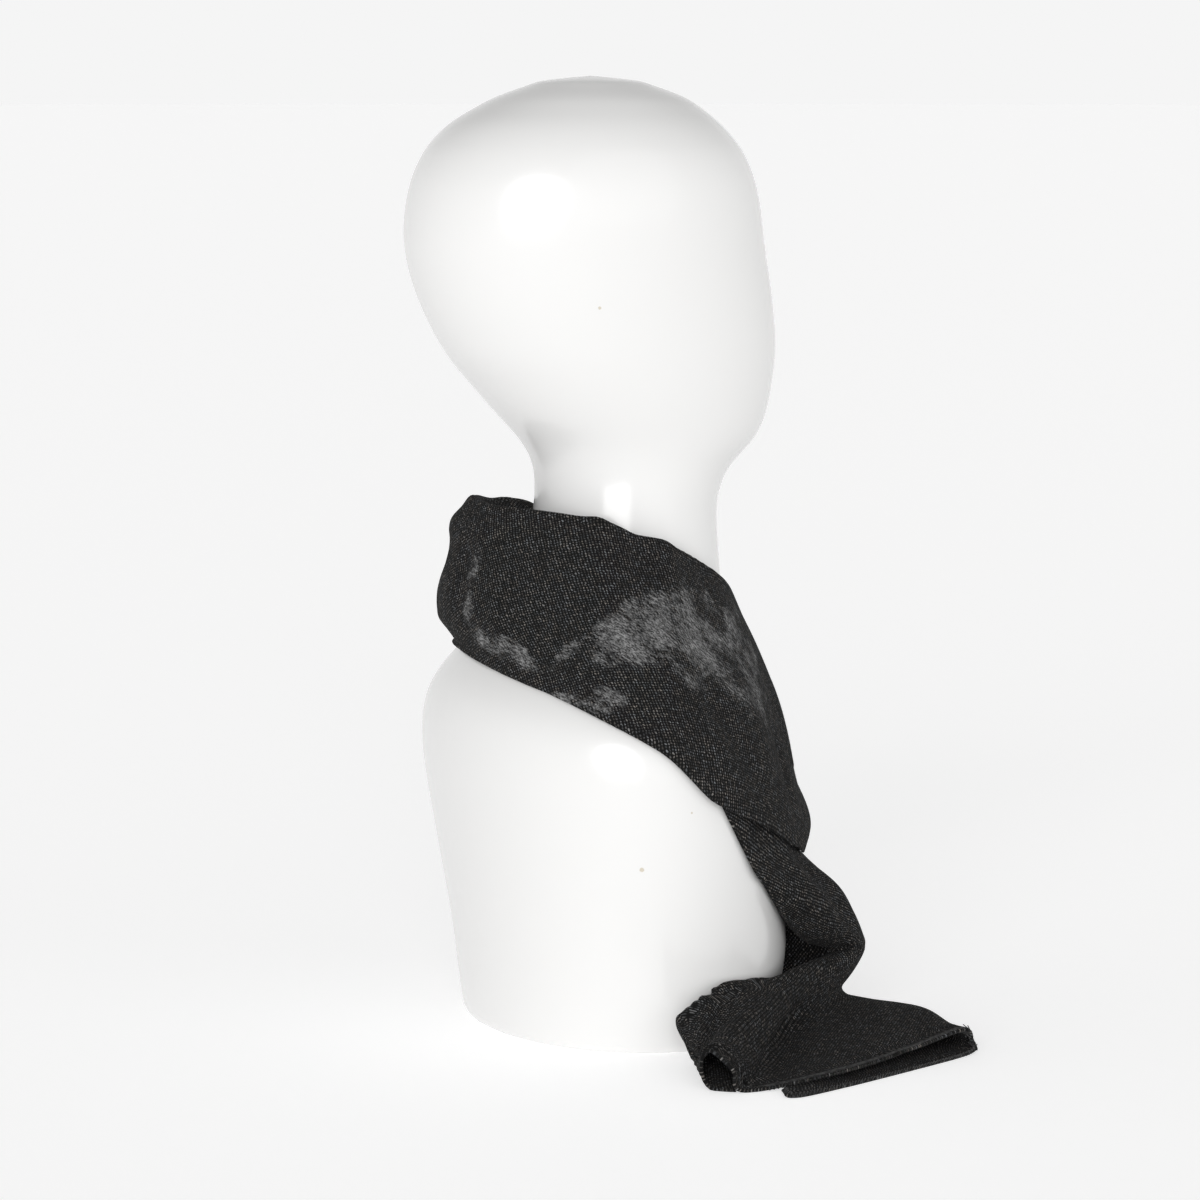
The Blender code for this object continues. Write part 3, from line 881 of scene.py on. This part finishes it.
@dataclass
class BackTail(Cloth):
    """The other tail, flat against the chest, from its near to its far fold."""

    rows: tuple[tuple[Point, ...], ...] = (
        # near_fold, crest, far_fold; each is a turn, a gap and a height
        ((167.0, 7.2, 126.0), (171.0, 7.2, 127.0), (176.0, 7.2, 128.0)),
        ((171.5, 7.2, 108.0), (178.0, 7.8, 108.0), (186.0, 7.2, 109.0)),
        ((174.0, 5.0, 86.0), (184.0, 10.0, 86.0), (196.0, 4.0, 86.0)),
        ((177.0, 4.0, 62.0), (189.0, 8.0, 62.0), (203.0, 3.5, 61.0)),
        ((180.0, 4.0, 36.0), (193.0, 7.0, 35.0), (208.0, 4.0, 36.0)),
    )

    def middle(self) -> np.ndarray:
        """The middle of the cloth, as lines of points."""
        along, across = self.faces
        rows = BUST.on_skin(np.array(self.rows))
        lines = curve(rows, np.linspace(0.0, len(rows) - 1, along + 1))
        places = np.linspace(0.0, lines.shape[1] - 1, across + 1)
        return curve(lines.swapaxes(0, 1), places).swapaxes(0, 1)


@dataclass
class FrontTail(Cloth):
    """The tail in front and its end on the floor, as one sheet from the wrap to the short edge.

    It hangs against the bust to its knee. From there it lies as a ridge, a valley and an upper
    layer, folded on the right to the under layer. The shares say how far across the cloth each
    point of a row is.
    """

    hung_shares: Row = (0.0, 0.077, 0.2, 0.34, 0.55, 1.0)
    hung_rows: tuple[tuple[Point, ...], ...] = (
        # tuck, near_fold, near_side,
        # crest, far_side, far_fold; each is a turn, a gap and a height
        (
            (95.0, 2.3, 135.0), (99.5, 3.0, 134.0), (115.0, 6.0, 129.0),
            (136.0, 8.0, 123.0), (151.0, 8.0, 120.0), (162.0, 7.0, 118.0),
        ),
        (
            (107.5, 2.3, 96.0), (111.0, 4.0, 96.0), (123.0, 9.0, 97.0),
            (142.5, 10.0, 97.0), (156.5, 9.0, 96.0), (165.0, 7.0, 94.0),
        ),
        (
            (112.5, 2.3, 87.0), (116.0, 6.0, 87.5), (127.0, 13.0, 89.0),
            (146.5, 14.0, 89.0), (160.0, 12.0, 87.0), (167.0, 4.5, 84.0),
        ),
        (
            (121.5, 2.3, 71.0), (121.0, 6.0, 73.0), (125.5, 18.0, 76.0),
            (147.5, 29.0, 73.5), (160.0, 24.0, 68.0), (168.5, 3.5, 62.0),
        ),
        (
            (135.0, 4.0, 55.0), (128.5, 7.5, 61.0), (132.0, 21.5, 65.0),
            (149.0, 36.0, 59.0), (159.0, 31.0, 55.5), (167.5, 3.0, 47.0),
        ),
        (
            (142.5, 11.0, 45.5), (136.0, 15.5, 51.5), (138.5, 28.5, 57.0),
            (150.5, 40.5, 48.5), (159.0, 34.5, 45.5), (167.5, 3.0, 36.0),
        ),
        (
            (148.0, 23.0, 40.5), (143.5, 26.5, 46.0), (144.0, 35.0, 50.0),
            (151.5, 42.5, 42.5), (159.0, 38.5, 36.5), (166.5, 3.0, 26.0),
        ),
    )
    laid_shares: Row = (
        0.0, 0.03, 0.09, 0.155, 0.22, 0.275, 0.34, 0.46, 0.56, 0.64, 0.74, 0.86, 0.97, 1.0,
    )
    laid_rows: tuple[tuple[Point, ...], ...] = (
        # tuck, left_edge, left_low,
        # ridge_foot, ridge, ridge_side,
        # valley, upper, near_fold,
        # loop_top, fold, under_near,
        # under_turn, under_edge; each is x, y and height
        (
            (-58.0, -99.0, 35.5), (-60.0, -101.0, 37.0), (-68.5, -106.5, 40.5),
            (-73.5, -107.5, 42.0), (-71.5, -112.0, 41.0), (-68.0, -115.5, 39.2),
            (-64.0, -117.0, 36.5), (-53.5, -118.0, 32.5), (-48.0, -117.0, 28.0),
            (-43.5, -114.0, 24.0), (-39.5, -108.5, 21.5), (-34.0, -99.0, 19.5),
            (-28.0, -88.0, 18.2), (-27.0, -86.0, 18.0),
        ),
        (
            (-61.0, -89.5, 31.0), (-63.0, -91.5, 33.0), (-71.0, -96.0, 37.5),
            (-76.5, -99.0, 37.0), (-76.0, -103.5, 34.0), (-72.5, -107.0, 31.0),
            (-67.5, -109.0, 27.0), (-58.0, -109.5, 21.5), (-54.0, -108.0, 18.0),
            (-53.0, -105.5, 15.5), (-53.0, -102.0, 14.0), (-52.5, -95.0, 13.5),
            (-51.6, -85.2, 13.1), (-51.5, -83.5, 13.0),
        ),
        (
            (-70.0, -75.5, 27.0), (-70.5, -76.5, 29.0), (-78.0, -79.5, 35.5),
            (-83.5, -83.0, 35.5), (-83.5, -89.0, 32.0), (-80.0, -94.5, 27.5),
            (-75.0, -98.5, 22.5), (-70.5, -100.5, 18.0), (-69.5, -105.5, 15.0),
            (-70.0, -110.0, 12.0), (-73.5, -111.0, 9.0), (-80.0, -103.5, 7.0),
            (-90.2, -91.2, 4.4), (-92.0, -89.0, 4.0),
        ),
        (
            (-90.5, -60.0, 22.0), (-89.0, -57.5, 27.0), (-93.5, -59.0, 33.0),
            (-96.0, -65.0, 33.0), (-96.0, -70.5, 29.5), (-92.5, -77.5, 24.0),
            (-87.5, -82.5, 18.0), (-82.0, -96.5, 16.5), (-82.5, -110.5, 15.0),
            (-85.5, -117.5, 13.0), (-88.5, -119.5, 9.0), (-93.5, -113.5, 5.0),
            (-102.0, -95.2, 2.0), (-103.5, -92.0, 1.5),
        ),
        (
            (-113.5, -43.0, 12.0), (-111.0, -33.0, 34.5), (-112.5, -38.0, 33.0),
            (-113.5, -44.0, 29.0), (-114.0, -50.0, 28.5), (-109.5, -58.5, 21.5),
            (-102.5, -64.5, 14.5), (-104.5, -82.0, 14.0), (-101.5, -112.5, 15.5),
            (-100.0, -125.5, 14.5), (-97.5, -134.0, 10.0), (-104.5, -128.5, 2.5),
            (-119.4, -85.2, 1.0), (-122.0, -77.5, 0.9),
        ),
        (
            (-124.5, -26.0, 3.5), (-120.5, -9.5, 34.0), (-125.0, -15.5, 33.5),
            (-134.0, -23.0, 28.5), (-137.0, -31.0, 26.5), (-133.5, -39.0, 17.5),
            (-128.0, -42.0, 9.5), (-131.5, -69.5, 10.5), (-125.5, -111.0, 14.5),
            (-124.0, -127.0, 16.5), (-120.5, -136.0, 9.5), (-128.0, -129.0, 1.5),
            (-151.8, -63.6, 0.9), (-156.0, -52.0, 0.9),
        ),
        (
            (-136.0, -13.0, 1.2), (-128.5, 9.5, 26.5), (-139.5, 8.0, 25.0),
            (-153.5, 5.0, 21.0), (-162.5, -2.0, 22.0), (-165.5, -13.0, 12.0),
            (-164.5, -19.0, 3.5), (-165.0, -58.5, 8.0), (-151.5, -103.5, 12.0),
            (-145.0, -126.0, 14.5), (-143.0, -136.0, 9.0), (-153.0, -128.0, 2.0),
            (-184.0, -43.0, 1.1), (-188.0, -30.0, 1.0),
        ),
        (
            (-160.0, -6.0, 0.9), (-134.5, 16.0, 20.0), (-153.5, 17.5, 16.5),
            (-172.0, 18.5, 17.5), (-178.5, 12.0, 20.0), (-187.0, 1.5, 10.0),
            (-191.0, -4.0, 2.0), (-187.0, -51.5, 6.5), (-168.5, -97.0, 9.5),
            (-156.0, -128.0, 14.0), (-154.0, -137.0, 8.5), (-164.0, -129.5, 2.0),
            (-200.0, -34.0, 1.1), (-198.0, -19.0, 1.0),
        ),
        (
            (-199.0, 11.0, 0.9), (-191.5, 21.0, 0.9), (-187.0, 24.5, 8.0),
            (-187.0, 24.0, 17.5), (-194.0, 22.0, 21.0), (-199.5, 12.5, 11.5),
            (-202.0, 7.0, 0.9), (-200.0, -46.0, 6.0), (-177.5, -93.5, 8.5),
            (-163.0, -132.0, 13.5), (-161.0, -138.0, 6.8), (-168.5, -129.0, 0.9),
            (-219.5, -20.5, 0.9), (-209.0, -11.0, 1.4),
        ),
    )

    def middle(self) -> np.ndarray:
        """The middle of the cloth, as lines of points."""
        along, across = self.faces
        wanted = np.linspace(0.0, 1.0, across + 1)
        groups = ((BUST.on_skin(np.array(self.hung_rows)), self.hung_shares),)
        groups += ((np.array(self.laid_rows), self.laid_shares),)
        rows = [
            curve(row, np.interp(wanted, shares, np.arange(len(shares))))
            for group, shares in groups
            for row in group
        ]
        lines = curve(np.array(rows), np.linspace(0.0, len(rows) - 1, along + 1))
        return evened(lines, across + 1)

    def outwards(self, normals: np.ndarray, points: np.ndarray) -> float:
        """Whether the normals point to the side that shows, as 1 or -1."""
        last_lines = slice(-points.shape[0] // 4, None)
        upper = slice(points.shape[1] // 3, points.shape[1] // 2)
        return float(np.sign(normals[last_lines, upper, 2].sum()))


@dataclass
class Overlock:
    """Overlock stitches along a sheet's last line, each round the edge and slanting along it."""

    name: str
    start: float = 0.0  # the share of the line that they start at
    pitch: float = 2.35
    depth: float = 5.0  # how far they reach in from the edge
    lean: float = 1.6  # and along it
    turn_in: float = 0.4  # where they turn down to the edge
    bite: float = 0.25  # how far their ends sink in
    thread: float = 0.27  # the thread's radius
    sides: int = 5
    look_ahead: float = 0.8  # the run that gives the edge's direction

    def make(
        self, points: np.ndarray, normals: np.ndarray, wall: float, material: bpy.types.Material
    ) -> bpy.types.Object:
        """Sews the stitches.

        Args:
            points: The middle of the sheet, as lines of points.
            normals: The way the side that shows faces, at each point.
            wall: The sheet's thickness.
            material: The thread.

        Returns:
            The piece.
        """
        edge, inner = points[-1], points[-4]
        runs = run_along(edge)
        marks = np.arange(runs[-1] * self.start + self.pitch / 2, runs[-1], self.pitch)
        corners, faces = [], []
        rise = wall / 2 + self.thread * 0.7
        path = np.array(
            [
                # along the edge, in from it and out of the cloth
                (-self.lean, self.depth, rise - self.bite),
                (-self.lean * 0.3, self.depth * 0.5, rise),
                (self.lean * 0.2, self.turn_in, rise),
                (self.lean * 0.3, -rise, 0.0),
                (self.lean * 0.2, self.turn_in, -rise),
                (self.lean * 0.7, self.depth * 0.5, -rise),
                (self.lean * 1.3, self.depth, -rise + self.bite),
            ]
        )
        for mark in marks:
            place = np.array([np.interp(mark, runs, edge[:, k]) for k in range(3)])
            next_mark = mark + self.look_ahead
            ahead = np.array([np.interp(next_mark, runs, edge[:, k]) for k in range(3)])
            inside = np.array([np.interp(mark, runs, inner[:, k]) for k in range(3)])
            normal = np.array([np.interp(mark, runs, normals[-1][:, k]) for k in range(3)])
            tangent = unit(ahead - place)
            inward = unit(inside - place)
            frame_axes = np.array([tangent, inward, unit(normal)])
            centres = place + path @ frame_axes
            centres[:, 2] = np.maximum(centres[:, 2], self.thread)
            directions = unit(np.gradient(centres, axis=0))
            first = unit(np.cross(directions, tangent))
            second = np.cross(directions, first)
            base = len(corners) * len(path) * self.sides
            angles = np.linspace(0.0, 2 * math.pi, self.sides, endpoint=False)
            ring = (
                centres[:, None]
                + first[:, None] * np.cos(angles)[None, :, None] * self.thread
                + second[:, None] * np.sin(angles)[None, :, None] * self.thread
            )
            corners.append(ring.reshape(-1, 3))
            for k in range(len(path) - 1):
                for side in range(self.sides):
                    near, far = side, (side + 1) % self.sides
                    a, b = base + k * self.sides, base + (k + 1) * self.sides
                    faces.append((a + near, b + near, b + far, a + far))
            faces.append(tuple(base + k for k in range(self.sides)))
            last = base + (len(path) - 1) * self.sides
            faces.append(tuple(last + k for k in reversed(range(self.sides))))
        piece = new_piece(self.name, np.concatenate(corners), faces, material)
        LOG.info("%s: %d stitches", self.name, len(marks))
        return piece


# ---------------------------------------------------------------------------------------------
# The bust and the studio
# ---------------------------------------------------------------------------------------------


@dataclass
class DisplayBust:
    """The limbless bust: its solid's skin with its facets smoothed away."""

    name: str = "display_bust"
    node: str = "bust"
    smoothing: int = 2
    merged: float = 0.00005  # corners nearer than this are one, in metres
    joined: float = 0.7  # triangles that bend less than this make a quad, in radians
    base: float = 0.0001  # edges below this height stay sharp, in metres

    def make(self, material: bpy.types.Material) -> bpy.types.Object:
        """Copies the solid's skin, merges it and smooths it.

        Args:
            material: The paint.

        Returns:
            The piece.
        """
        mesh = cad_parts[self.node].data.copy()
        mesh.name = self.name
        piece = bpy.data.objects.new(self.name, mesh)
        bpy.context.scene.collection.objects.link(piece)
        mesh.materials.clear()
        mesh.materials.append(material)
        bpy.ops.object.select_all(action="DESELECT")
        piece.select_set(True)
        bpy.context.view_layer.objects.active = piece
        bpy.ops.object.mode_set(mode="EDIT")
        bpy.ops.mesh.select_all(action="SELECT")
        bpy.ops.mesh.remove_doubles(threshold=self.merged)
        bpy.ops.mesh.tris_convert_to_quads(face_threshold=self.joined, shape_threshold=self.joined)
        bpy.ops.mesh.select_all(action="DESELECT")
        bpy.ops.object.mode_set(mode="OBJECT")
        mesh = piece.data
        crease = mesh.attributes.new("crease_edge", "FLOAT", "EDGE")
        for edge in mesh.edges:
            if all(mesh.vertices[k].co.z < self.base for k in edge.vertices):
                crease.data[edge.index].value = 1.0
        smooth = piece.modifiers.new("skin", "SUBSURF")
        smooth.levels = smooth.render_levels = self.smoothing
        bpy.ops.object.modifier_apply(modifier=smooth.name)
        piece.data.shade_smooth()
        piece.data.attributes.remove(piece.data.attributes["crease_edge"])
        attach(piece, "root")
        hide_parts(self.node)
        LOG.info("%s: %d faces", self.name, len(piece.data.polygons))
        return piece


@dataclass(frozen=True)
class SoftLight:
    """A far soft light, which is as strong on all of the floor."""

    name: str
    azimuth: float  # where it stands round the object, in degrees, 0 at -Y and 90 at +X
    elevation: float  # how high it stands, in degrees
    spread: float  # how wide it is, in degrees
    strength: float  # in watts a square metre
    distance: float = 3.0  # in metres, which its strength doesn't depend on

    def make(self) -> None:
        """Adds the light."""
        data = bpy.data.lights.new(self.name, "SUN")
        data.angle = math.radians(self.spread)
        data.energy = self.strength
        light = bpy.data.objects.new(self.name, data)
        azimuth, elevation = math.radians(self.azimuth), math.radians(self.elevation)
        level = math.cos(elevation)
        back = Vector((math.sin(azimuth) * level, -math.cos(azimuth) * level, math.sin(elevation)))
        light.location = back * self.distance
        light.rotation_euler = (-back).to_track_quat("-Z", "Y").to_euler()
        bpy.context.scene.collection.objects.link(light)


@dataclass
class Studio:
    """The pale floor, the lights and the camera at the photograph's angle."""

    lens: float = 127.77  # in millimetres, as is the sensor
    sensor: float = 36.0
    place: Point = (-2.1576, 0.7968, 0.5100)
    target: Point = (0.0037, 0.0101, 0.2276)
    horizon: float = 0.913  # the sky's strength near the floor
    zenith: float = 0.22  # and overhead
    fade: tuple[float, float] = (0.15, 0.80)  # the sky's heights that it fades between, as sines
    floor_radius: float = 80.0  # in metres
    floor_corners: int = 96
    lights: tuple[SoftLight, ...] = (
        SoftLight("key_light", 241.0, 14.0, 38.0, 1.75),
        SoftLight("fill_light", 292.0, 20.0, 60.0, 0.35),
    )

    def camera(self) -> None:
        """Makes the camera, which sees past the floor's far edge."""
        data = bpy.data.cameras.new("camera")
        data.lens = self.lens
        data.sensor_width = self.sensor
        data.clip_end = 200.0
        camera = bpy.data.objects.new("camera", data)
        camera.location = self.place
        away = Vector(self.target) - Vector(self.place)
        camera.rotation_euler = away.to_track_quat("-Z", "Y").to_euler()
        bpy.context.scene.collection.objects.link(camera)
        bpy.context.scene.camera = camera

    def sky(self) -> None:
        """Makes the white sky, which is weaker overhead."""
        world = bpy.data.worlds.new("daylight")
        world.use_nodes = True
        nodes, links = world.node_tree.nodes, world.node_tree.links
        background = nodes["Background"]
        background.inputs["Color"].default_value = grey(1.0)
        place, axes = nodes.new("ShaderNodeTexCoord"), nodes.new("ShaderNodeSeparateXYZ")
        fade = nodes.new("ShaderNodeMapRange")
        fade.interpolation_type = "SMOOTHSTEP"
        fade.inputs["From Min"].default_value, fade.inputs["From Max"].default_value = self.fade
        fade.inputs["To Min"].default_value = self.horizon
        fade.inputs["To Max"].default_value = self.zenith
        links.new(place.outputs["Generated"], axes.inputs["Vector"])
        links.new(axes.outputs["Z"], fade.inputs["Value"])
        links.new(fade.outputs["Result"], background.inputs["Strength"])
        bpy.context.scene.world = world

    def floor(self, material: bpy.types.Material) -> None:
        """Makes the round pale floor.

        Args:
            material: The paper.
        """
        bpy.ops.object.select_all(action="DESELECT")
        bpy.ops.mesh.primitive_circle_add(
            vertices=self.floor_corners,
            radius=self.floor_radius,
            fill_type="NGON",
            location=(0.0, 0.0, 0.0),
        )
        floor = bpy.context.object
        floor.name = "studio_floor"
        floor.data.materials.append(material)

    def make(self, paper: bpy.types.Material) -> None:
        """Makes the studio.

        Args:
            paper: The floor's finish.
        """
        bpy.context.scene.view_settings.view_transform = "Standard"
        self.sky()
        self.floor(paper)
        for light in self.lights:
            light.make()
        self.camera()


def main() -> None:
    """Builds the pieces in order."""
    logging.basicConfig(level=logging.INFO, format="%(name)s: %(message)s")
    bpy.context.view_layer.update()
    wool = WoolFinish().make()
    thread = ThreadFinish().make()
    paint = GlossFinish().make()

    DisplayBust().make(paint)
    wrap = NeckWrap(
        name="neck_wrap",
        replaced=("scarf_wrap_right", "scarf_wrap_left"),
        held=Held.DRAPED,
        rests_on=("display_bust",),
        cut=(0.150, 0.545),
        faces=(234, 96),
        grain=15.0,
        creases=(
            # the side that the photograph shows
            Crease((0.625, 0.56), (0.705, 0.90), 9.0, -3.2, 4.0),
            Crease((0.650, 0.36), (0.720, 0.78), 7.0, 1.6, 3.0),
            Crease((0.538, 0.0), (0.552, 0.40), 6.0, 1.8),
            Crease((0.570, 0.0), (0.580, 0.34), 7.0, -1.4),
            Crease((0.600, 0.0), (0.612, 0.42), 7.0, 1.7),
            Crease((0.655, 0.0), (0.640, 0.38), 8.0, -1.3),
            Crease((0.455, 0.30), (0.470, 0.96), 7.0, -2.0, 3.0),
            Crease((0.480, 0.42), (0.500, 0.99), 6.0, 1.4, -2.0),
            Crease((0.520, 0.55), (0.535, 1.0), 8.0, -1.6, 2.0),
            Crease((0.600, 0.80), (0.640, 1.0), 8.0, -1.6),
            Crease((0.720, 0.55), (0.790, 0.93), 6.0, -1.8, -3.0),
            Crease((0.760, 0.30), (0.850, 0.80), 7.0, 1.6, 4.0),
            Crease((0.790, 0.62), (0.880, 0.88), 6.0, -1.6),
            # the back and the other side
            Crease((0.400, 0.10), (0.425, 0.80), 8.0, -2.4, 5.0),
            Crease((0.370, 0.30), (0.385, 0.97), 7.0, 1.8, -3.0),
            Crease((0.330, 0.05), (0.350, 0.62), 9.0, -2.6, 6.0),
            Crease((0.300, 0.40), (0.310, 1.0), 6.0, -1.6),
            Crease((0.265, 0.12), (0.290, 0.90), 8.0, 2.0, -5.0),
            Crease((0.225, 0.0), (0.250, 0.70), 7.0, -2.2, 3.0),
            Crease((0.180, 0.35), (0.215, 0.95), 8.0, 1.7, 4.0),
            Crease((0.140, 0.05), (0.175, 0.75), 7.0, -2.0, -4.0),
            Crease((0.070, 0.20), (0.130, 0.85), 6.0, -1.6, 3.0),
        ),
        patches=(
            BrushedPatch((0.590, 0.52), 19.0, 23.0, 20.0),
            BrushedPatch((0.630, 0.40), 24.0, 30.0, -10.0, 0.85),
            BrushedPatch((0.690, 0.38), 30.0, 44.0, -12.0, 0.62),
            BrushedPatch((0.566, 0.64), 10.0, 17.0, 15.0, 0.95),
            BrushedPatch((0.496, 0.88), 32.0, 6.5, 12.0, 0.75),
            BrushedPatch((0.466, 0.64), 7.0, 26.0, -6.0, 0.66),
            BrushedPatch((0.562, 0.89), 8.0, 4.5, 8.0),
            BrushedPatch((0.538, 0.78), 3.6, 15.0, 34.0, 0.80),
            BrushedPatch((0.545, 0.975), 18.0, 3.5, 4.0, 0.80),
            BrushedPatch((0.385, 0.45), 30.0, 24.0, 12.0, 0.80),
            BrushedPatch((0.335, 0.80), 24.0, 8.0, -8.0, 0.90),
            BrushedPatch((0.250, 0.38), 22.0, 28.0, 25.0, 0.85),
            BrushedPatch((0.170, 0.66), 26.0, 10.0, 10.0, 0.75),
        ),
    )
    wrap.make(wool, thread)
    BackTail(
        name="back_tail",
        replaced=("scarf_tail_left",),
        held=Held.HUNG,
        rests_on=("display_bust",),
        cut=(0.035, 0.092),
        faces=(48, 24),
        creases=(Crease((0.0, 0.30), (0.85, 0.55), 5.0, -1.2, 2.0),),
    ).make(wool, thread)
    FrontTail(
        name="front_tail",
        replaced=("scarf_tail_right", "scarf_end_right"),
        held=Held.FOLDED,
        rests_on=("display_bust",),
        cut=(0.190, 0.220),
        faces=(150, 150),
        overlock=Overlock("short_end_overlock", start=0.21),
        creases=(
            # the tail, down to its knee
            Crease((0.02, 0.30), (0.42, 0.14), 5.0, 1.3, 3.0),
            Crease((0.04, 0.42), (0.44, 0.20), 6.0, -1.2, 4.0),
            Crease((0.06, 0.58), (0.42, 0.32), 7.0, 1.2, 3.0),
            Crease((0.0, 0.16), (0.20, 0.12), 4.0, -0.9),
            Crease((0.428, 0.08), (0.485, 0.30), 3.2, -1.8),
            # the ridge: its foot, its crest and the valley beside it
            Crease((0.58, 0.12), (0.80, 0.075), 3.4, -2.2),
            Crease((0.76, 0.08), (1.0, 0.085), 3.4, -2.4),
            Crease((0.56, 0.22), (0.80, 0.155), 5.0, 2.0),
            Crease((0.76, 0.15), (1.0, 0.145), 5.0, 1.6),
            Crease((0.60, 0.30), (0.96, 0.275), 7.0, -3.2),
            # the left part and the upper layer
            Crease((0.74, 0.0), (0.93, 0.04), 5.0, -1.2),
            Crease((0.66, 0.50), (0.80, 0.34), 8.0, -1.6, 5.0),
            Crease((0.70, 0.56), (0.97, 0.44), 9.0, 1.5, 5.0),
            Crease((0.84, 0.33), (0.98, 0.37), 7.0, -1.2, 3.0),
        ),
    ).make(wool, thread)

    Studio().make(FloorFinish().make())


if __name__ == "__main__":
    main()
